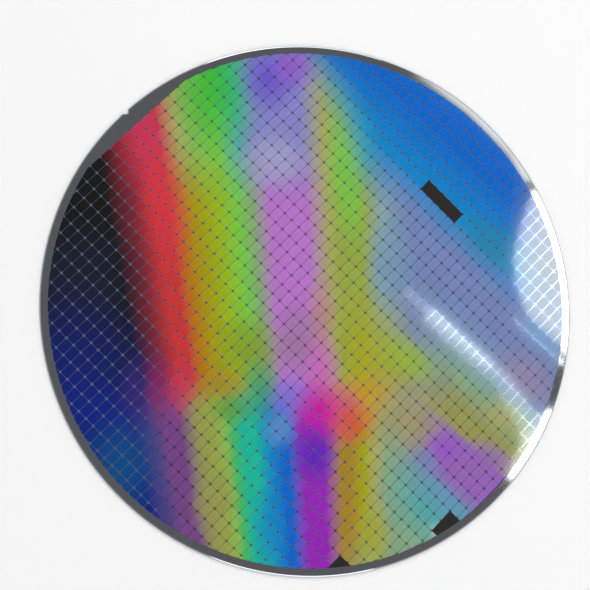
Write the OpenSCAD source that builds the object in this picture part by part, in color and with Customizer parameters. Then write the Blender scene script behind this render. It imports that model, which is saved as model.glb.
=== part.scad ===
// A silicon wafer, 200 mm across, with a V notch in its rim and a grid of printed dies on its front.
// Origin: the centre of the back face. +Z points out of the front, and the notch is at -Y.

/* [Wafer] */
// Diameter
wafer_d = 200; // [100:1:205]
// Thickness of the bare silicon
wafer_t = 0.725; // [0.6:0.005:0.9]
// Radius of the round nose of the edge
nose_r = 0.25; // [0.1:0.01:0.28]
// Angle between a face and the bevel that leads from it to the nose
bevel_angle = 22; // [15:1:40]

/* [Notch] */
// Depth, from the rim to the root
notch_depth = 1; // [0.8:0.05:1.5]
// Angle between the two sides
notch_angle = 90; // [70:1:110]
// Radius of the root
notch_root_r = 0.9; // [0.4:0.05:1.1]

/* [Printed area] */
// Width of the bare ring between the films and the rim
ring_w = 3; // [2:0.25:6]
// Height of the bare segment behind the notch, which is left for marking
segment_h = 6.3; // [4:0.1:20]
// Height of the top of a die over the bare silicon
die_h = 0.02; // [0.012:0.001:0.05]
// Height over the bare silicon of the oxide that is left between the dies of a row
oxide_h = 0.01; // [0.004:0.001:0.01]

/* [Dies] */
// Pitch of the dies along a row
pitch_x = 5.014; // [4.6:0.001:12]
// Pitch of the rows
pitch_y = 3.674; // [3.4:0.001:12]
// Distance from the centre of the wafer to the nearest street on its left
grid_x = 1.07; // [0:0.01:4]
// Width of the streets between the dies of a row
street_x = 0.2; // [0.1:0.01:0.6]
// Width of the streets between the rows
street_y = 0.24; // [0.1:0.01:0.6]
// Shortest stretch of a die inside the bare ring that is still printed
least_die = 0.8; // [0.5:0.1:2]

/* [Hidden] */
$fn = 180;
wafer_r = wafer_d / 2;
film_r = wafer_r - ring_w;
columns = ceil(film_r / pitch_x) + 1;
rows = ceil(film_r / pitch_y) + 1;
// Sites with no die, as [first column, first row, columns, rows]: the test strip, and two
// where the print was blocked at the rim. Column 0 and row 0 hold the wafer's centre.
blank_sites = [[-13, 0, 1, 5], [4, 25, 2, 2], [12, 20, 2, 2]];

function left_of(i) = i * pitch_x - grid_x;
function foot_of(j) = (j - 0.5) * pitch_y;
function nearer(a, b) = a * b < 0 ? 0 : min(abs(a), abs(b));
function further(a, b) = max(abs(a), abs(b));
// Distances from the wafer's centre to the nearest and the furthest point of a site
function site_start(i, j) = norm([nearer(left_of(i), left_of(i + 1)), nearer(foot_of(j), foot_of(j + 1))]);
function site_end(i, j) = norm([further(left_of(i), left_of(i + 1)), further(foot_of(j), foot_of(j + 1))]);
function in_site(i, j, s) = i >= s[0] && i < s[0] + s[2] && j >= s[1] && j < s[1] + s[3];
function is_blank(i, j) = len([for (s = blank_sites) if (in_site(i, j, s)) s]) > 0;
function is_over_segment(j) = foot_of(j) + street_y > segment_h - wafer_r;
function is_printed(i, j) = is_over_segment(j) && !is_blank(i, j) && site_start(i, j) < film_r - least_die;

// The section of the wafer: flat faces, a bevel off each, and a round nose that both run into.
module section() {
    nose = [wafer_r - nose_r, wafer_t / 2];
    steepness = 90 - bevel_angle;
    touch = nose + nose_r * [cos(steepness), sin(steepness)];
    bevel_w = (wafer_t - touch[1]) / tan(bevel_angle);
    flat_r = touch[0] - bevel_w;
    polygon([[0, 0], [flat_r, 0], [touch[0], wafer_t - touch[1]], touch, [flat_r, wafer_t], [0, wafer_t]]);
    translate(nose) circle(nose_r);
}

// The notch seen from the front: a round root, and two straight sides that run out past the rim.
// The sides lie side_inset inside the root's tangents, so that they cut its circle at a clear angle.
module notch_outline() {
    half = notch_angle / 2;
    side_inset = 0.01;
    root_y = notch_depth - wafer_r - notch_root_r;
    touch = [0, root_y] + (notch_root_r - side_inset) * [cos(half), sin(half)];
    clear_y = -wafer_r - 1;
    mouth_x = touch[0] + (touch[1] - clear_y) * tan(half);
    translate([0, root_y]) circle(notch_root_r);
    polygon([touch, [mouth_x, clear_y], [-mouth_x, clear_y], [-touch[0], touch[1]]]);
}

module blank() {
    difference() {
        rotate_extrude() section();
        translate([0, 0, -wafer_t]) linear_extrude(3 * wafer_t) notch_outline();
    }
}

// The rectangle of one site or of a block of them, with a gap left to what lies around it.
module site(i, j, across, high, gap_x, gap_y) {
    translate([left_of(i) + gap_x / 2, foot_of(j) + gap_y / 2])
        square([across * pitch_x - gap_x, high * pitch_y - gap_y]);
}

// One strip of oxide under each row of dies.
module oxide_strips() {
    intersection() {
        circle(film_r);
        difference() {
            for (j = [-rows : rows])
                if (is_over_segment(j)) site(-columns, j, 2 * columns + 1, 1, 0, street_y);
            for (s = blank_sites) site(s[0], s[1], s[2], s[3], 0, -street_y);
        }
    }
}

// Whole dies, and round the rim the dies that the ring cuts.
module dies() {
    for (i = [-columns : columns], j = [-rows : rows])
        if (is_printed(i, j) && site_end(i, j) <= film_r) site(i, j, 1, 1, street_x, street_y);
    intersection() {
        circle(film_r);
        for (i = [-columns : columns], j = [-rows : rows])
            if (is_printed(i, j) && site_end(i, j) > film_r) site(i, j, 1, 1, street_x, street_y);
    }
}

module wafer() {
    color("dimgray") blank();
    color("darkslateblue") translate([0, 0, wafer_t]) linear_extrude(oxide_h) oxide_strips();
    color("mediumslateblue") translate([0, 0, wafer_t + oxide_h]) linear_extrude(die_h - oxide_h) dies();
}

wafer();
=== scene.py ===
import math

import bpy
import numpy as np
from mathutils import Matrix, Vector


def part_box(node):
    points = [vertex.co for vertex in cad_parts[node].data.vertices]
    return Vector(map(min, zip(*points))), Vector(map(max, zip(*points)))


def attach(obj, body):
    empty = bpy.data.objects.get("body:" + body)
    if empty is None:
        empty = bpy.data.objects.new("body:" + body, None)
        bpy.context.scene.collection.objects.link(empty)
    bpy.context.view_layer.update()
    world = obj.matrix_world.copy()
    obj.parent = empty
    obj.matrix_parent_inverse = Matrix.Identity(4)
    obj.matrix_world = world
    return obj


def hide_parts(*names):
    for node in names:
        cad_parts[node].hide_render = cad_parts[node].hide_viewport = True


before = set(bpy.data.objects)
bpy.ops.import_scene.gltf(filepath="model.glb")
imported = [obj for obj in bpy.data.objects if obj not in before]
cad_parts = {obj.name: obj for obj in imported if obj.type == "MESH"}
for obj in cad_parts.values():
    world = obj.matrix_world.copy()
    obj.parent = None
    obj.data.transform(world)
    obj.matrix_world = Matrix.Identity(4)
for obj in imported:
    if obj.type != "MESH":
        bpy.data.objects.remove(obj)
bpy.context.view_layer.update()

# A wafer that lies printed side up: the polished blank, the strips of oxide and the dies on it, and
# the floor, the room and the lamps round it. Lengths are in millimetres until mesh_piece() turns them
# into metres.
MM = 0.001
# Two faces meet in a sharp edge from this angle on
SHARP_FROM = math.radians(15)
# Keeps a division clear of zero
TINY = 1e-9

low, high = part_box("wafer")
WAFER_R = (high.x - low.x) / 2 / MM
DIE_TOP = high.z / MM
# Heights of the top of a die and of the oxide over the bare silicon, and where its front face lies
DIE_H = 0.02
OXIDE_H = 0.01
FRONT = DIE_TOP - DIE_H

# Edge: the radius of its round nose, and the angle between a face and the bevel that leads to the nose
NOSE_R = 0.25
BEVEL = math.radians(22)
# Notch: its depth from the rim to the root, the radius of the root, and half the angle between its sides
NOTCH_DEPTH = 1.0
NOTCH_ROOT_R = 0.9
NOTCH_HALF = math.radians(45)
# Half the stretch of rim that is laid in fine steps for the notch, and how far to either side of -Y
# a point of the rim is tried against the notch's sides
NOTCH_STRETCH, NOTCH_SEARCH = 2.2, 5
# Points round the rest of the rim, along the notch's stretch, and over the nose of the edge
RIM_POINTS, NOTCH_POINTS, NOSE_POINTS = 720, 81, 13

# The bare ring's width, and the radius of the filmed circle inside it
RING_W = 3
FILM_R = WAFER_R - RING_W
# The height of the bare segment behind the notch, and where it ends
SEGMENT_H = 6.3
SEGMENT_Y = SEGMENT_H - WAFER_R
# The printed grid, whose column 0 and row 0 hold the centre of the wafer: the pitch of its sites, how
# far the nearest street lies to the left of the centre, and the widths of the streets
PITCH_X, PITCH_Y = 5.014, 3.674
GRID_X = 1.07
STREET_X, STREET_Y = 0.2, 0.24
# Shortest stretch of a die inside the filmed circle that is still printed
LEAST_DIE = 0.8
# First column, first row, columns and rows of the sites that hold no die
BLANK_SITES = [(-13, 0, 1, 5), (4, 25, 2, 2), (12, 20, 2, 2)]
# The corners of a die are cut off by this much along x and along y
CORNER_X, CORNER_Y = 0.5, 0.7
# A side of a die that is shorter than this has its cuts made smaller in proportion
FULL_SIDE = 3
# The lines of points up a die: the share of its height at which each lies, and how many times the
# height of a cut it lies above that
LINE_SHARES = np.array([0, 0, 0.33, 0.67, 1, 1])
LINE_CUTS = np.array([0, 1, 0, 0, -1, 0])
# Half the width and half the height of the lozenge where two streets cross
MARK_X, MARK_Y = 0.3, 0.45
# Lines of points up a strip of oxide
STRIP_LINES = 9
# Least width of a film, where the filmed circle would close it to a point
LEAST_WIDTH = 0.02
# How far a film reaches down into what carries it
SEAT = 0.004


def linear(colour):
    """The linear colour, with an alpha of 1, of an sRGB colour in hex."""
    parts = [int(colour[k : k + 2], 16) / 255 for k in (0, 2, 4)]
    return [p / 12.92 if p <= 0.04045 else ((p + 0.055) / 1.055) ** 2.4 for p in parts] + [1.0]


def add(tree, kind, settings=(), inputs=()):
    """Adds a node of a kind to a tree, with its settings made and its inputs set or linked."""
    node = tree.nodes.new("ShaderNode" + kind)
    for name, value in dict(settings).items():
        setattr(node, name, value)
    for name, value in dict(inputs).items():
        if isinstance(value, bpy.types.NodeSocket):
            tree.links.new(value, node.inputs[name])
        else:
            node.inputs[name].default_value = value
    return node


def mesh_piece(name, points, faces, material):
    """A mesh object from an array of points in millimetres and a list of arrays of corner numbers."""
    mesh = bpy.data.meshes.new(name)
    mesh.vertices.add(len(points))
    mesh.vertices.foreach_set("co", (np.asarray(points, float) * MM).ravel())
    sizes = np.concatenate([np.full(len(f), f.shape[1]) for f in faces])
    corners = np.concatenate([f.ravel() for f in faces])
    mesh.loops.add(len(corners))
    mesh.loops.foreach_set("vertex_index", corners)
    mesh.polygons.add(len(sizes))
    mesh.polygons.foreach_set("loop_start", np.concatenate([[0], np.cumsum(sizes)[:-1]]))
    mesh.polygons.foreach_set("loop_total", sizes)
    mesh.update(calc_edges=True)
    mesh.validate()
    mesh.shade_smooth()
    mesh.set_sharp_from_angle(angle=SHARP_FROM)
    mesh.materials.append(material)
    piece = bpy.data.objects.new(name, mesh)
    bpy.context.scene.collection.objects.link(piece)
    return piece


def ride(piece):
    """The piece rides with the wafer's body."""
    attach(piece, "root")


# ---------------------------------------------------------------- the silicon blank


def rim_distance(angle):
    """Distance from the centre to the edge: the wafer's radius, or at the notch the nearer side of
    a V whose root is a circle, so the near crossing of the ray with that circle or with a side."""
    root_x, root_y = 0.0, NOTCH_DEPTH - WAFER_R - NOTCH_ROOT_R
    dx, dy = np.cos(angle), np.sin(angle)
    along = dx * root_x + dy * root_y
    inside = along**2 - (root_x**2 + root_y**2) + NOTCH_ROOT_R**2
    on_root = along - np.sqrt(np.maximum(inside, 0))
    # a side leaves the circle where its normal meets it
    nx, ny = math.cos(NOTCH_HALF), math.sin(NOTCH_HALF)
    touch_x, touch_y = root_x + NOTCH_ROOT_R * nx, root_y + NOTCH_ROOT_R * ny
    on_side = (nx * touch_x + ny * touch_y) / (nx * np.abs(dx) + ny * dy - TINY)
    over_root = (inside >= 0) & (np.abs(on_root * dx) <= touch_x) & (dy < 0)
    beside = ~over_root & (dy < 0) & (np.abs(dx) * WAFER_R < NOTCH_SEARCH) & (on_side > 0)
    reach = np.full_like(angle, WAFER_R)
    reach = np.where(beside, np.minimum(reach, on_side), reach)
    return np.where(over_root, on_root, reach)


def edge_section():
    """Points of the edge from the back flat to the front flat as (inset from the rim, height): the end
    of a flat, a straight bevel and a round nose, mirrored about the middle of the thickness."""
    steep = math.pi / 2 - BEVEL
    turn = np.linspace(-steep, steep, NOSE_POINTS)
    inset = NOSE_R - NOSE_R * np.cos(turn)
    height = FRONT / 2 + NOSE_R * np.sin(turn)
    bevel_w = (FRONT - height[-1]) / math.tan(BEVEL)
    inset = np.concatenate([[inset[0] + bevel_w], inset, [inset[-1] + bevel_w]])
    height = np.concatenate([[0], height, [FRONT]])
    return inset, height


def make_blank(material):
    """The edge section carried round the rim, one ring of points for each of its points, and closed
    by a fan of triangles to a pole at the middle of each flat."""
    notch_at, half = -math.pi / 2, NOTCH_STRETCH / WAFER_R
    round_rim = np.linspace(notch_at + half, notch_at + 2 * math.pi - half, RIM_POINTS)
    notch = np.linspace(notch_at - half, notch_at + half, NOTCH_POINTS)[1:-1]
    angle = np.concatenate([round_rim, notch])
    reach = rim_distance(angle)
    inset, height = edge_section()
    radius = reach[None, :] - inset[:, None]
    x, y = radius * np.cos(angle), radius * np.sin(angle)
    z = np.broadcast_to(height[:, None], x.shape)
    poles = np.array([[0, 0, 0], [0, 0, FRONT]])
    points = np.concatenate([np.stack([x, y, z], -1).reshape(-1, 3), poles])
    rings, count = x.shape
    ring, step = np.meshgrid(np.arange(rings - 1), np.arange(count), indexing="ij")
    after = (step + 1) % count
    walls = np.stack([ring * count + step, ring * count + after, (ring + 1) * count + after,
                      (ring + 1) * count + step], -1).reshape(-1, 4)
    step, after = np.arange(count), (np.arange(count) + 1) % count
    back = np.stack([np.full(count, rings * count), after, step], -1)
    top = (rings - 1) * count
    front = np.stack([np.full(count, rings * count + 1), top + step, top + after], -1)
    return mesh_piece("wafer_blank", points, [walls, back, front], material)


# ---------------------------------------------------------------- the films


def nearer(start, end):
    """Distance from zero to the nearest point of a stretch: nothing where the stretch holds zero."""
    return np.where(start * end < 0, 0, np.minimum(abs(start), abs(end)))


def half_chord(y):
    """Half the width of the filmed circle at a height y over its centre."""
    return np.sqrt(np.maximum(FILM_R**2 - np.asarray(y, float) ** 2, 0))


def slabs(name, x, y, bottom, top, material):
    """Closed flat slabs, one for each grid of points in x and y, whose shape is (slab, row, column).
    Each grid is laid twice, at the top and turned over at the bottom, and joined by a wall."""
    count, rows, columns = x.shape
    size = rows * columns
    flat = np.stack([x, y], -1).reshape(count, size, 2)
    upper = np.concatenate([flat, np.full((count, size, 1), top)], -1)
    lower = np.concatenate([flat, np.full((count, size, 1), bottom)], -1)
    points = np.concatenate([upper, lower], 1).reshape(-1, 3)
    number = np.arange(size).reshape(rows, columns)
    cells = np.stack([number[:-1, :-1], number[:-1, 1:], number[1:, 1:], number[1:, :-1]], -1)
    cells = cells.reshape(-1, 4)
    loop = np.concatenate([number[0, :-1], number[:-1, -1], number[-1, :0:-1], number[:0:-1, 0]])
    after = np.roll(loop, -1)
    walls = np.stack([loop + size, after + size, after, loop], -1)
    one = np.concatenate([cells, cells[:, ::-1] + size, walls])
    faces = (one[None] + 2 * size * np.arange(count)[:, None, None]).reshape(-1, 4)
    return mesh_piece(name, points, [faces], material)


def site_left(column):
    """The street line on the left of a column."""
    return column * PITCH_X - GRID_X


def site_foot(row):
    """The street line below a row."""
    return (row - 0.5) * PITCH_Y


def printed_sites():
    """Column and row of each printed site, as two arrays."""
    reach = int(FILM_R / PITCH_Y) + 2
    column, row = np.meshgrid(np.arange(-reach, reach + 1), np.arange(-reach, reach + 1))
    column, row = column.ravel(), row.ravel()
    x0, y0 = site_left(column), site_foot(row)
    away = np.hypot(nearer(x0, x0 + PITCH_X), nearer(y0, y0 + PITCH_Y))
    printed = (away < FILM_R - LEAST_DIE) & (y0 + STREET_Y > SEGMENT_Y)
    for first, foot, across, up in BLANK_SITES:
        blank = (column >= first) & (column < first + across) & (row >= foot) & (row < foot + up)
        printed &= ~blank
    return column[printed], row[printed]


def make_dies(material):
    """Low pads with their corners cut off. Each is a grid with lines at the cuts, its corner points
    drawn in to the middle of the cut. Where the filmed circle crosses a site, the pad's ends lie on it:
    y is held below the circle over the near side of the site, and x within the half chord at y."""
    column, row = printed_sites()
    x0 = site_left(column)[:, None] + STREET_X / 2
    x1 = x0 + PITCH_X - STREET_X
    y0 = site_foot(row)[:, None] + STREET_Y / 2
    y1 = y0 + PITCH_Y - STREET_Y
    limit = half_chord(nearer(x0, x1))
    y0, y1 = np.clip(y0, -limit, limit), np.clip(y1, -limit, limit)
    y = y0 + (y1 - y0) * LINE_SHARES + CORNER_Y * LINE_CUTS * np.minimum(1, (y1 - y0) / FULL_SIDE)
    left, right = np.maximum(x0, -half_chord(y)), np.minimum(x1, half_chord(y))
    width = np.maximum(right - left, LEAST_WIDTH)
    cut = CORNER_X * np.minimum(1, width / FULL_SIDE)
    x = np.stack([left, left + cut, left + width - cut, left + width], -1)
    y = np.repeat(y[:, :, None], x.shape[2], 2)
    x[:, [0, -1], 0] += cut[:, [0, -1]] / 2
    x[:, [0, -1], -1] -= cut[:, [0, -1]] / 2
    rise = (y[:, 1, 0] - y[:, 0, 0]) / 2
    y[:, 0, [0, -1]] += rise[:, None]
    y[:, -1, [0, -1]] -= rise[:, None]
    return slabs("dies", x, y, FRONT + OXIDE_H - SEAT, FRONT + DIE_H, material)


def make_oxide(material):
    """One strip of oxide under each row of dies, from one side of the filmed circle to the other,
    broken at the blank sites. Its lines of points are evenly spaced in the angle round the circle."""
    rows = int(FILM_R / PITCH_Y) + 1
    strips = []
    for row in range(-rows, rows + 1):
        foot, head = site_foot(row) + STREET_Y / 2, site_foot(row + 1) - STREET_Y / 2
        if foot + STREET_Y / 2 <= SEGMENT_Y or foot >= FILM_R:
            continue
        blanks = [s for s in BLANK_SITES if s[1] <= row < s[1] + s[3]]
        gaps = sorted((site_left(s[0]), site_left(s[0] + s[2])) for s in blanks)
        starts = [-FILM_R] + [g[1] for g in gaps]
        ends = [g[0] for g in gaps] + [FILM_R]
        strips += [(foot, min(head, FILM_R), a, b) for a, b in zip(starts, ends)]
    foot, head, start, end = np.array(strips).T[:, :, None]
    first, last = np.arcsin(foot / FILM_R), np.arcsin(head / FILM_R)
    turn = first + (last - first) * np.linspace(0, 1, STRIP_LINES)
    y = FILM_R * np.sin(turn)
    left, right = np.maximum(start, -half_chord(y)), np.minimum(end, half_chord(y))
    kept = (right - left).max(1) > LEAST_DIE / 2
    y, left, right = y[kept], left[kept], np.maximum(right, left + LEAST_WIDTH)[kept]
    x = np.stack([left, right], -1)
    y = np.repeat(y[:, :, None], x.shape[2], 2)
    return slabs("oxide_strips", x, y, FRONT - SEAT, FRONT + OXIDE_H, material)


# ---------------------------------------------------------------- materials

# Plain shades that the films take as light is spread by their fine pattern
COLOURS = {
    "ink": "0c0c0c", "midnight": "111a33", "navy": "001f80", "marine": "005088", "cobalt": "0066cc",
    "azure": "0088cc", "petrol": "2288aa", "sky": "6699cc", "steel": "6699bb", "haze": "7799bb",
    "glare_slate": "889090", "fog": "88aaaa", "periwinkle": "7788bb", "mist": "aaaacc", "painted_glint": "ddddee",
    "lavender": "8888cc", "iris": "8877dd", "dusk": "332277", "indigo": "4422bb", "violet": "6644cc",
    "plum": "4d4488", "thistle": "9988aa", "amethyst": "9966bb", "lilac": "9955cc", "orchid": "bb77cc",
    "purple": "9922bb", "grape": "774488", "mauve": "997799", "pink": "cc66bb", "magenta": "dd1199",
    "berry": "882266", "wine": "772233", "crimson": "992233", "rose": "cc3355", "scarlet": "dd3344",
    "red": "cc3333", "rust": "dd5522", "clay": "bb8888", "amber": "bb7700", "gold": "cc9900",
    "ochre": "aa8822", "olive": "aa9900", "citrus": "aaaa00", "tan": "aa9966", "khaki": "aaaa66",
    "pear": "99aa44", "reed": "999955", "moss": "889922", "lime": "99bb11", "grass": "669933",
    "fern": "88bb55", "leaf": "77cc44", "mint": "44bb66", "emerald": "11bb33", "sage": "88aa77",
    "celadon": "88aa88", "jade": "449977", "teal": "11bb99", "lagoon": "55aaaa", "turquoise": "33aaaa",
}

# The bands that fan out over the left half, as (millimetres across, colour): those high up, those at
# mid height and those low down
HEAD_BANDS = [
    (-68, "ink"), (-62, "crimson"), (-56, "rose"), (-49, "rose"), (-43, "khaki"), (-38, "fern"),
    (-30, "leaf"), (-23, "lagoon"), (-17, "lavender"), (-2, "lavender"), (5, "khaki"), (11, "fern"),
    (20, "turquoise"), (27, "azure"),
]
BANDS = [
    (-69.5, "ink"), (-61.5, "wine"), (-54, "red"), (-49.5, "red"), (-45, "amber"), (-40, "olive"),
    (-32, "lime"), (-25, "leaf"), (-20, "sage"), (-14, "orchid"), (-1, "orchid"), (6, "khaki"),
    (11, "pear"), (19, "pear"), (26, "fog"), (36, "periwinkle"),
]
FOOT_BANDS = [
    (-84, "navy"), (-76, "navy"), (-68, "plum"), (-63, "grape"), (-57, "grape"), (-50, "reed"),
    (-43, "pear"), (-39, "fern"), (-36, "mint"), (-32, "teal"), (-27, "teal"), (-21, "azure"),
    (-16, "cobalt"), (-13.5, "cobalt"), (-7, "purple"), (1.5, "purple"), (9, "ochre"),
    (13.5, "ochre"), (19, "citrus"), (24, "khaki"), (30, "celadon"),
]
# The bands that cross the right half on a slant, as (millimetres up the slant, colour)
SWEEP = [
    (-42, "celadon"), (-30, "lagoon"), (-20, "steel"), (-14, "amethyst"), (-1, "amethyst"), (1, "reed"),
    (8, "reed"), (17, "celadon"), (28, "haze"), (37, "periwinkle"), (50, "periwinkle"), (63, "azure"),
    (84, "cobalt"),
]
# The films and the lamp panels are laid out in millimetres across and up. These directions are turned
# from the wafer's own x and y by this many degrees.
LAYOUT_TURN = -135
# Share of the way to the middle of its die that a point takes its colour from
DIE_PULL = 0.3
# At this height the bands lie so far further left than at mid height, and by this share further apart
LEAN_HEIGHT, LEAN_SHIFT, LEAN_SPREAD = 75, 2.5, 0.18
# The heights from and to which the bands high up, and those low down, take over from those between
HEAD_HEIGHTS, FOOT_HEIGHTS = (34, 62), (-27, -41)
# The direction up the slant of the sweep
SWEEP_SLOPE = (0.67, 0.74, 0)
# The border between bands and sweep bows to the right. It is soft: the sweep takes over while
# across + up * (BOW * up + TILT) runs from the first of these numbers to the second.
BOW, TILT, BORDER = 0.004, 0.1, (30, 58)
# Soft spots laid over the bands, as (colour, middle, half width and half height in mm, turn in degrees)
SPOTS = [
    ("midnight", (-88, 8), (34, 30), 0),
    ("navy", (-88, -34), (44, 52), 0),
    ("marine", (-70, -60), (20, 26), 0),
    ("dusk", (-65, -34), (10, 22), 0),
    ("berry", (-57, -32), (8, 20), 0),
    ("rose", (-49, -32), (9, 17), 0),
    ("scarlet", (-55, 34), (12, 38), 8),
    ("emerald", (-37, 82), (25, 37), 0),
    ("mist", (-15, 54), (20, 17), 0),
    ("violet", (-17, 86), (17, 20), 0),
    ("lilac", (-7, 92), (13, 15), 0),
    ("mauve", (-6, -15), (15, 21), 0),
    ("moss", (-24, -18), (18, 20), 0),
    ("jade", (-20, -33), (11, 18), 0),
    ("clay", (3, -5), (9, 24), 0),
    ("iris", (-9, -36), (12, 14), 0),
    ("sky", (-13, -47), (9, 11), 0),
    ("azure", (-17, -82), (9, 24), 0),
    ("reed", (-37, -73), (12, 18), 0),
    ("ochre", (-33, -31), (14, 10), 0),
    ("grass", (-31, -40), (12, 9), 0),
    ("leaf", (13, 44), (10, 38), 7),
    ("citrus", (23, -16), (23, 32), 0),
    ("citrus", (28, -25), (27, 18), -30),
    ("lime", (36, -21), (20, 12), -35),
    ("gold", (19, -35), (19, 15), 0),
    ("tan", (36, -44), (21, 20), 0),
    ("periwinkle", (42, -59), (10, 8), -40),
    ("amethyst", (66, -58), (18, 9), -25),
    ("lilac", (48, -54), (11, 8), -35),
    ("khaki", (72, -43), (16, 10), -40),
    ("thistle", (82, -28), (24, 13), -42),
    ("citrus", (22, -86), (9, 20), 0),
    ("pink", (3, -25), (11, 19), 0),
    ("magenta", (6, -41), (20, 19), 0),
    ("rust", (14.5, -45), (12, 12), 0),
    ("indigo", (0, -56), (12, 16), 0),
    ("haze", (30, 14), (14, 26), 0),
    ("petrol", (70, 24), (24, 13), -42),
    # partly painted reflection: a muted grey over the films where the window lamp is mirrored, standing in
    # for the glare that washes out their colours there
    ("glare_slate", (94, 18), (23, 62), 0),
    ("sky", (88, -13), (18, 7), -42),
    # a painted glint: a pale spot in the film colour that stands in for a reflection at the rim
    ("painted_glint", (46.5, -86), (5, 8), 40),
]
# Share of the reach of a spot out to which it covers what it lies on
SPOT_CORE = 0.3

# Bare silicon, and a site that holds no die
SILICON, BLANK_SITE = "9a9ea4", "242220"
# The oxide in the streets, among muted films and among dark or vivid ones: painted shaded and lit copies
# of one oxide, dark where the spread light is bright and muted, light where it is dark or vivid
STREET, LIT_STREET = "222222", "8c94b0"
# The mark where two streets cross, among bright films and among dark ones: painted shaded and lit copies
# of one mark
CROSSING, LIT_CROSSING = "222233", "8088aa"
# How far the tone of the streets goes from that of the films to its own, among muted films and
# among dark or vivid ones, and how far that of their crossings goes
STREET_TONE, LIT_STREET_TONE, CROSSING_TONE = 0.22, 0.3, 0.85
# A film is dark up to the first of these grey levels, and bright from the second on
DARK, BRIGHT = 0.02, 0.1
# A film is muted up to the first of these saturations, and vivid at the second
MUTED, VIVID = 0.7, 1.0
# The mark at a crossing fades out over this share of its size, both inwards and outwards
MARK_FADE = 0.1
# Share of the silicon mirror that shows through the thin oxide between the rows, and between the
# dies of a row
ROW_METAL, GAP_METAL = 0.5, 0.4
# Roughness of the silicon, which is polished all round, and of the flat films on it
POLISH = 0.05
# The circuit blocks in a die, drawn much coarser than real so that they show: how many lie across and
# up a site, the width and the softness of the gaps between them, and the tones of blocks and gaps
BLOCKS_ACROSS, BLOCKS_UP = 4, 6
BLOCK_GAP, BLOCK_GAP_FADE = 0.05, 0.3
BLOCK_TONE, OTHER_BLOCK_TONE, GAP_TONE = "ffffff", "f2f2f2", "e6e6e6"
# The tone of a die varies by chance between these shares of the film's
DIE_TONES = (0.96, 1.03)
# Index of refraction of the glass that seals a die
GLASS_IOR = 1.45
# Settings of nodes. A Mix node takes its share at input 0, then two numbers at 2 and 3, two vectors at
# 4 and 5 or two colours at 6 and 7, and gives a number at output 0, a vector at 1 or a colour at 2.
RGBA = {"data_type": "RGBA"}
SMOOTH = {"interpolation_type": "SMOOTHSTEP"}


def start_material(name):
    """A material and its empty node tree."""
    material = bpy.data.materials.new(name)
    material.use_nodes = True
    material.node_tree.nodes.clear()
    return material, material.node_tree


def banded_colour(tree, position, stops):
    """The colour at a position in millimetres, which runs evenly from each stop to the next."""
    first, last = stops[0][0], stops[-1][0]
    along = add(tree, "MapRange", {}, {"Value": position, "From Min": first, "From Max": last})
    node = add(tree, "ValToRGB", {}, {"Fac": along.outputs[0]})
    elements = node.color_ramp.elements
    while len(elements) < len(stops):
        elements.new(0.5)
    for element, (place, name) in zip(elements, stops):
        element.position = (place - first) / (last - first)
        element.color = linear(COLOURS[name])
    return node.outputs[0]


def wafer_place(tree):
    """Where a point lies on the wafer, in millimetres."""
    coords = add(tree, "TexCoord").outputs["Object"]
    return add(tree, "VectorMath", {"operation": "SCALE"}, {0: coords, "Scale": 1 / MM}).outputs[0]


def die_middle(tree, place):
    """The middle of the site that a point lies in."""
    to_corner = (GRID_X, PITCH_Y / 2, 0)
    to_middle = (PITCH_X / 2 - GRID_X, 0, 0)
    shifted = add(tree, "VectorMath", {"operation": "ADD"}, {0: place, 1: to_corner}).outputs[0]
    pitch = {0: shifted, 1: (PITCH_X, PITCH_Y, 1)}
    snapped = add(tree, "VectorMath", {"operation": "SNAP"}, pitch).outputs[0]
    return add(tree, "VectorMath", {"operation": "ADD"}, {0: snapped, 1: to_middle}).outputs[0]


def crossing_marks(tree, place):
    """1 on the lozenge where two streets cross, and 0 elsewhere."""
    middle = die_middle(tree, place)
    inside = add(tree, "VectorMath", {"operation": "SUBTRACT"}, {0: place, 1: middle}).outputs[0]
    size = add(tree, "VectorMath", {"operation": "ABSOLUTE"}, {0: inside}).outputs[0]
    # distances from the nearest crossing, as shares of the mark's half width and half height
    corner = (PITCH_X / 2, PITCH_Y / 2, 0)
    left = add(tree, "VectorMath", {"operation": "SUBTRACT"}, {0: corner, 1: size}).outputs[0]
    share = (1 / MARK_X, 1 / MARK_Y, 0)
    away = add(tree, "VectorMath", {"operation": "DOT_PRODUCT"}, {0: left, 1: share}).outputs[1]
    edge = {"Value": away, "From Min": 1 + MARK_FADE, "From Max": 1 - MARK_FADE}
    return add(tree, "MapRange", {}, edge).outputs[0]


def fan_place(tree, place):
    """A place on the front turned to millimetres across and up the fan of bands. It is drawn part of the
    way to the middle of its die, so that the colour steps a little from die to die."""
    pulled = {0: DIE_PULL, 4: place, 5: die_middle(tree, place)}
    drawn = add(tree, "Mix", {"data_type": "VECTOR"}, pulled).outputs[1]
    turn = (0, 0, math.radians(LAYOUT_TURN))
    return add(tree, "Mapping", {}, {"Vector": drawn, "Rotation": turn}).outputs[0]


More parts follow.
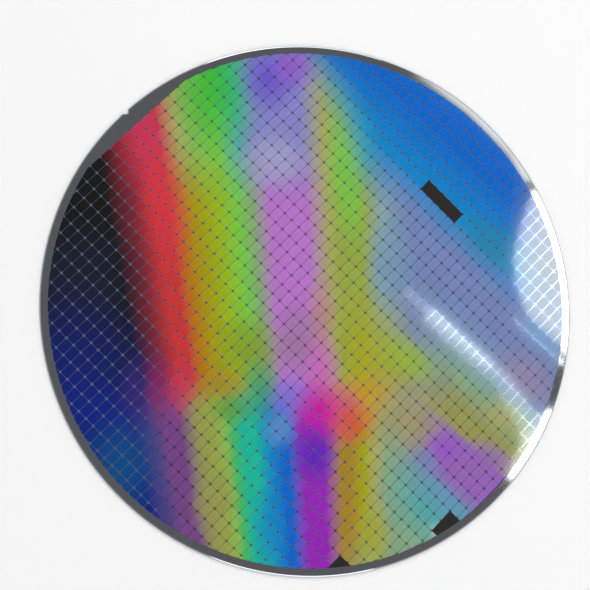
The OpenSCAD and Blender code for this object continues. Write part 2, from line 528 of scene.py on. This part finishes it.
def film_colour(tree, place):
    """The colour of the films: a fan of bands on the left, a slanted sweep on the right, and soft
    spots over both."""
    split = add(tree, "SeparateXYZ", {}, {0: place})
    across, up = split.outputs[0], split.outputs[1]
    lean = (1, LEAN_SHIFT / LEAN_HEIGHT, 0)
    shifted = add(tree, "VectorMath", {"operation": "DOT_PRODUCT"}, {0: place, 1: lean}).outputs[1]
    widening = {0: up, 1: LEAN_SPREAD / LEAN_HEIGHT, 2: 1.0}
    spread = add(tree, "Math", {"operation": "MULTIPLY_ADD"}, widening).outputs[0]
    band = add(tree, "Math", {"operation": "DIVIDE"}, {0: shifted, 1: spread}).outputs[0]
    colour = banded_colour(tree, band, BANDS)
    for stops, (start, full) in [(HEAD_BANDS, HEAD_HEIGHTS), (FOOT_BANDS, FOOT_HEIGHTS)]:
        heights = {"Value": up, "From Min": start, "From Max": full}
        share = add(tree, "MapRange", SMOOTH, heights).outputs[0]
        other = banded_colour(tree, band, stops)
        colour = add(tree, "Mix", RGBA, {0: share, 6: colour, 7: other}).outputs[2]
    slant = add(tree, "VectorMath", {"operation": "DOT_PRODUCT"}, {0: place, 1: SWEEP_SLOPE}).outputs[1]
    bow = add(tree, "Math", {"operation": "MULTIPLY_ADD"}, {0: up, 1: BOW, 2: TILT}).outputs[0]
    border = add(tree, "Math", {"operation": "MULTIPLY_ADD"}, {0: up, 1: bow, 2: across}).outputs[0]
    crossed = {"Value": border, "From Min": BORDER[0], "From Max": BORDER[1]}
    share = add(tree, "MapRange", SMOOTH, crossed).outputs[0]
    sweep = banded_colour(tree, slant, SWEEP)
    colour = add(tree, "Mix", RGBA, {0: share, 6: colour, 7: sweep}).outputs[2]
    for name, middle, reach, turn in SPOTS:
        shape = {"Location": (*middle, 0), "Rotation": (0, 0, math.radians(turn)), "Scale": (*reach, 1)}
        near = add(tree, "Mapping", {"vector_type": "TEXTURE"}, {"Vector": place, **shape}).outputs[0]
        away = add(tree, "VectorMath", {"operation": "LENGTH"}, {0: near}).outputs[1]
        fade = {"Value": away, "From Min": 1.0, "From Max": SPOT_CORE}
        cover = add(tree, "MapRange", SMOOTH, fade).outputs[0]
        spot = linear(COLOURS[name])
        colour = add(tree, "Mix", RGBA, {0: cover, 6: colour, 7: spot}).outputs[2]
    return colour


def street_finish(tree, place):
    """The colour of the streets: thin oxide that takes the tone of the films over the silicon mirror, with
    painted shade among muted films and a painted sheen among dark or vivid ones. The mark at each crossing
    is painted darker than bright films and painted lighter than dark ones."""
    film = film_colour(tree, fan_place(tree, place))
    level = add(tree, "RGBToBW", {}, {0: film}).outputs[0]
    levels = {"Value": level, "From Min": DARK, "From Max": BRIGHT}
    bright = add(tree, "MapRange", SMOOTH, levels).outputs[0]
    # the second output is the saturation
    purity = add(tree, "SeparateColor", {"mode": "HSV"}, {0: film}).outputs[1]
    purities = {"Value": purity, "From Min": VIVID, "From Max": MUTED}
    muted = add(tree, "MapRange", SMOOTH, purities).outputs[0]
    share = add(tree, "Math", {"operation": "MULTIPLY"}, {0: bright, 1: muted}).outputs[0]
    # painted shade among bright muted films and a painted sheen among dark or vivid ones, following how
    # bright the spread light is
    shaded = add(tree, "Mix", RGBA, {0: STREET_TONE, 6: film, 7: linear(STREET)}).outputs[2]
    lit = add(tree, "Mix", RGBA, {0: LIT_STREET_TONE, 6: film, 7: linear(LIT_STREET)}).outputs[2]
    street = add(tree, "Mix", RGBA, {0: share, 6: lit, 7: shaded}).outputs[2]
    # the crossing marks get painted shade among bright films and are painted lighter among dark ones
    tone = add(tree, "Mix", RGBA, {0: bright, 6: linear(LIT_CROSSING), 7: linear(CROSSING)}).outputs[2]
    mark = add(tree, "Mix", RGBA, {0: CROSSING_TONE, 6: film, 7: tone}).outputs[2]
    marks = crossing_marks(tree, place)
    return add(tree, "Mix", RGBA, {0: marks, 6: street, 7: mark}).outputs[2]


def within_box(tree, place, corner, size):
    """1 inside a rectangle given by its lower left corner and its size, and 0 outside."""
    half = (size[0] / 2, size[1] / 2, 1)
    middle = (corner[0] + half[0], corner[1] + half[1], 0)
    shape = {"Vector": place, "Location": middle, "Scale": half}
    scaled = add(tree, "Mapping", {"vector_type": "TEXTURE"}, shape).outputs[0]
    away = add(tree, "VectorMath", {"operation": "ABSOLUTE"}, {0: scaled}).outputs[0]
    parts = add(tree, "SeparateXYZ", {}, {0: away}).outputs
    reach = add(tree, "Math", {"operation": "MAXIMUM"}, {0: parts[0], 1: parts[1]}).outputs[0]
    return add(tree, "Math", {"operation": "LESS_THAN"}, {0: reach, 1: 1.0}).outputs[0]


def polished_silicon():
    """Mirror-polished silicon: a dark grey mirror that shows the ceiling of the room. Between the films it
    has the finish of the streets, and the sites that hold no die are near black."""
    material, tree = start_material("polished_silicon")
    place = wafer_place(tree)
    parts = add(tree, "SeparateXYZ", {}, {0: place}).outputs
    flat = add(tree, "CombineXYZ", {}, {0: parts[0], 1: parts[1]}).outputs[0]
    radius = add(tree, "VectorMath", {"operation": "LENGTH"}, {0: flat}).outputs[1]
    filmed = add(tree, "Math", {"operation": "LESS_THAN"}, {0: radius, 1: FILM_R}).outputs[0]
    for value, least in [(parts[1], SEGMENT_Y), (parts[2], FRONT / 2)]:
        beyond = add(tree, "Math", {"operation": "GREATER_THAN"}, {0: value, 1: least}).outputs[0]
        filmed = add(tree, "Math", {"operation": "MULTIPLY"}, {0: filmed, 1: beyond}).outputs[0]
    streets = street_finish(tree, flat)
    colour = add(tree, "Mix", RGBA, {0: filmed, 6: linear(SILICON), 7: streets}).outputs[2]
    metal = add(tree, "Mix", {}, {0: filmed, 2: 1.0, 3: ROW_METAL}).outputs[0]
    for first, foot, across, up in BLANK_SITES:
        corner = (site_left(first), site_foot(foot) - STREET_Y / 2)
        blocked = within_box(tree, flat, corner, (across * PITCH_X, up * PITCH_Y + STREET_Y))
        blocked = add(tree, "Math", {"operation": "MULTIPLY"}, {0: blocked, 1: filmed}).outputs[0]
        colour = add(tree, "Mix", RGBA, {0: blocked, 6: colour, 7: linear(BLANK_SITE)}).outputs[2]
        metal = add(tree, "Mix", {}, {0: blocked, 2: metal, 3: 0.0}).outputs[0]
    finish = {"Base Color": colour, "Metallic": metal, "Roughness": POLISH}
    shader = add(tree, "BsdfPrincipled", {}, finish)
    add(tree, "OutputMaterial", {}, {"Surface": shader.outputs[0]})
    return material


def device_film():
    """Finished device layers sealed with glass: their fine pattern spreads the light into rainbow bands,
    with each die in nearly one tone, and the glass gives them a smooth clear gloss."""
    material, tree = start_material("device_film")
    place = wafer_place(tree)
    middle = die_middle(tree, place)
    # the circuit blocks are laid from the corner of the site, so they are the same in each die
    inside = add(tree, "VectorMath", {"operation": "SUBTRACT"}, {0: place, 1: middle}).outputs[0]
    corner = (PITCH_X / 2, PITCH_Y / 2, 0)
    inside = add(tree, "VectorMath", {"operation": "ADD"}, {0: inside, 1: corner}).outputs[0]
    size = {"Scale": 1.0, "Brick Width": PITCH_X / BLOCKS_ACROSS, "Row Height": PITCH_Y / BLOCKS_UP}
    gaps = {"Mortar Size": BLOCK_GAP, "Mortar Smooth": BLOCK_GAP_FADE}
    blocks = {"Color1": linear(BLOCK_TONE), "Color2": linear(OTHER_BLOCK_TONE)}
    layout = {"Vector": inside, **size, **gaps, **blocks, "Mortar": linear(GAP_TONE)}
    pattern = add(tree, "TexBrick", {}, layout).outputs["Color"]
    chance = add(tree, "TexWhiteNoise", {}, {"Vector": middle}).outputs["Value"]
    shares = {"Value": chance, "To Min": DIE_TONES[0], "To Max": DIE_TONES[1]}
    tone = add(tree, "MapRange", {}, shares).outputs[0]
    colour = film_colour(tree, fan_place(tree, place))
    patterned = {0: 1.0, 6: colour, 7: pattern}
    colour = add(tree, "Mix", {**RGBA, "blend_type": "MULTIPLY"}, patterned).outputs[2]
    colour = add(tree, "VectorMath", {"operation": "SCALE"}, {0: colour, "Scale": tone}).outputs[0]
    finish = {"Base Color": colour, "Roughness": POLISH, "IOR": GLASS_IOR}
    shader = add(tree, "BsdfPrincipled", {}, finish)
    add(tree, "OutputMaterial", {}, {"Surface": shader.outputs[0]})
    return material


def field_oxide():
    """Thin oxide left between the dies of a row: it takes the tone of the films, and some of the mirror
    of the silicon shows through it."""
    material, tree = start_material("field_oxide")
    colour = street_finish(tree, wafer_place(tree))
    finish = {"Base Color": colour, "Metallic": GAP_METAL, "Roughness": POLISH}
    shader = add(tree, "BsdfPrincipled", {}, finish)
    add(tree, "OutputMaterial", {}, {"Surface": shader.outputs[0]})
    return material


def glowing(name, strength):
    """A lamp panel: one even white light."""
    material, tree = start_material(name)
    shader = add(tree, "Emission", {}, {"Color": linear(WHITE), "Strength": strength})
    add(tree, "OutputMaterial", {}, {"Surface": shader.outputs[0]})
    return material


# ---------------------------------------------------------------- stage, light and camera

# Where the camera stands, and how it is turned about x, y and z in degrees
CAMERA_AT = (97.17, -2.79, 416.76)
CAMERA_TURN = (9.38, -8.64, 134.65)
# Its focal length, the width of its sensor and the nearest place that it shows
LENS, SENSOR, NEAREST = 69.96, 36, 10
# The floor, which lies just under the wafer: half its width, its height, and its matt white finish
FLOOR_HALF, FLOOR_Z = 3000, -0.02
FLOOR_WHITE, FLOOR_MATT = "f8f8f8", 0.9
WHITE = "ffffff"
# The room: the sine of the height angle at which its walls end and at which its ceiling begins, and
# the light of both
WALL_END, CEILING_START = 0.45, 0.87
WALL_LIGHT, CEILING_LIGHT = 1.0, 0.27
# Soft square lamps, as (name, place and width in metres, power in watts)
LAMPS = [("left_lamp", (-1.1, -0.9, 1.0), 1.0, 11), ("right_lamp", (0.9, 1.1, 1.0), 1.0, 8)]
# Height of the lamp panels
PANEL_Z = 900
# Lamp panels over the wafer, as (name, strength, where it is mirrored in the wafer): the outline is
# given in millimetres across and up
PANELS = [
    ("window_panel", 12, [
        (87.5, 45), (82.5, 33), (78.5, 19), (79, 8), (83.5, -4), (101, -20), (114, -6), (116, 20),
        (108, 48),
    ]),
    ("tube_start_panel", 4.5, [(34, 3.8), (36.6, 6.5), (45.4, -1.2), (42.9, -4.1)]),
    ("tube_panel", 14, [
        (42.9, -4.1), (45.4, -1.2), (54.6, -9.3), (69, -22), (66.6, -24.8), (52, -12.1),
    ]),
    ("tube_tail_panel", 7, [
        (69, -22), (75.3, -27.1), (80.9, -35.1), (86.7, -44.4), (81, -47.8), (75.8, -38),
        (72.7, -29.8), (66.6, -24.8),
    ]),
    ("tube_glow_panel", 4, [
        (42.9, -4.1), (52, -12.1), (64.6, -23.1), (72.7, -29.8), (75.8, -38), (81, -47.8),
        (78.5, -48.8), (73, -39), (69.5, -31.5), (62.5, -25.2), (50, -14.3), (41, -6.2),
    ]),
    ("slit_panel", 16, [(77.1, -5), (77.6, -4.6), (96.7, -21.9), (96.2, -22.4)]),
    ("tube_end_panel", 14, [
        (79, -44), (92, -40), (88, -51), (80, -62), (75, -66), (73, -63), (79, -53),
    ]),
    ("sky_panel", 2.6, [
        (42, 91), (62, 76), (78, 60), (84, 49), (100, 52), (92, 78), (62, 104), (44, 106),
    ]),
]


def flat_piece(name, x, y, z, material):
    """One level face at a height, whose corners are two arrays of x and y."""
    points = np.stack([x, y, np.full(len(x), z)], -1)
    return mesh_piece(name, points, [np.arange(len(x))[None]], material)


def make_floor():
    """A plain square floor."""
    material, tree = start_material("studio_floor")
    finish = {"Base Color": linear(FLOOR_WHITE), "Roughness": FLOOR_MATT}
    shader = add(tree, "BsdfPrincipled", {}, finish)
    add(tree, "OutputMaterial", {}, {"Surface": shader.outputs[0]})
    x = FLOOR_HALF * np.array([-1, 1, 1, -1])
    y = FLOOR_HALF * np.array([-1, -1, 1, 1])
    flat_piece("floor", x, y, FLOOR_Z, material)


def make_panel(name, strength, outline):
    """A lamp panel hung face down over the wafer, cut so that it is mirrored in the wafer over an outline
    given in millimetres across and up. A mirror ray from the camera runs on as far again above the wafer,
    so the panel is the outline spread about the point under the camera."""
    across, up = np.array(outline, float).T
    turn = math.radians(LAYOUT_TURN)
    x = across * math.cos(turn) + up * math.sin(turn)
    y = up * math.cos(turn) - across * math.sin(turn)
    spread = 1 + PANEL_Z / CAMERA_AT[2]
    x, y = CAMERA_AT[0] + (x - CAMERA_AT[0]) * spread, CAMERA_AT[1] + (y - CAMERA_AT[1]) * spread
    panel = flat_piece(name, x, y, PANEL_Z, glowing(name, strength))
    panel.visible_camera = False


def make_lamp(name, place, size, power):
    """A soft square lamp that faces the wafer's centre."""
    data = bpy.data.lights.new(name, "AREA")
    data.size = size
    data.energy = power
    lamp = bpy.data.objects.new(name, data)
    lamp.location = place
    lamp.rotation_euler = (-Vector(place)).to_track_quat("-Z", "Y").to_euler()
    bpy.context.scene.collection.objects.link(lamp)


def make_camera():
    """Camera above the wafer and a little to its side."""
    data = bpy.data.cameras.new("camera")
    data.sensor_width = SENSOR
    data.lens = LENS
    data.dof.use_dof = False
    data.clip_start = NEAREST * MM
    camera = bpy.data.objects.new("camera", data)
    camera.location = Vector(CAMERA_AT) * MM
    camera.rotation_euler = [math.radians(turn) for turn in CAMERA_TURN]
    bpy.context.scene.collection.objects.link(camera)
    bpy.context.scene.camera = camera


def make_world():
    """A room with a dim ceiling over bright white walls."""
    world = bpy.data.worlds.new("studio")
    bpy.context.scene.world = world
    world.use_nodes = True
    tree = world.node_tree
    tree.nodes.clear()
    coords = add(tree, "TexCoord").outputs["Generated"]
    height = add(tree, "SeparateXYZ", {}, {0: coords}).outputs[2]
    walls = {"From Min": WALL_END, "To Min": WALL_LIGHT}
    ceiling = {"From Max": CEILING_START, "To Max": CEILING_LIGHT}
    level = add(tree, "MapRange", SMOOTH, {"Value": height, **walls, **ceiling}).outputs[0]
    room = add(tree, "Background", {}, {"Color": linear(WHITE), "Strength": level}).outputs[0]
    add(tree, "OutputWorld", {}, {"Surface": room})


silicon = polished_silicon()
blank = make_blank(silicon)
oxide = make_oxide(field_oxide())
dies = make_dies(device_film())
for piece in (blank, oxide, dies):
    ride(piece)
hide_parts("wafer")

make_floor()
make_world()
for name, place, size, power in LAMPS:
    make_lamp(name, place, size, power)
for name, strength, outline in PANELS:
    make_panel(name, strength, outline)
make_camera()
bpy.context.scene.view_settings.view_transform = "Standard"
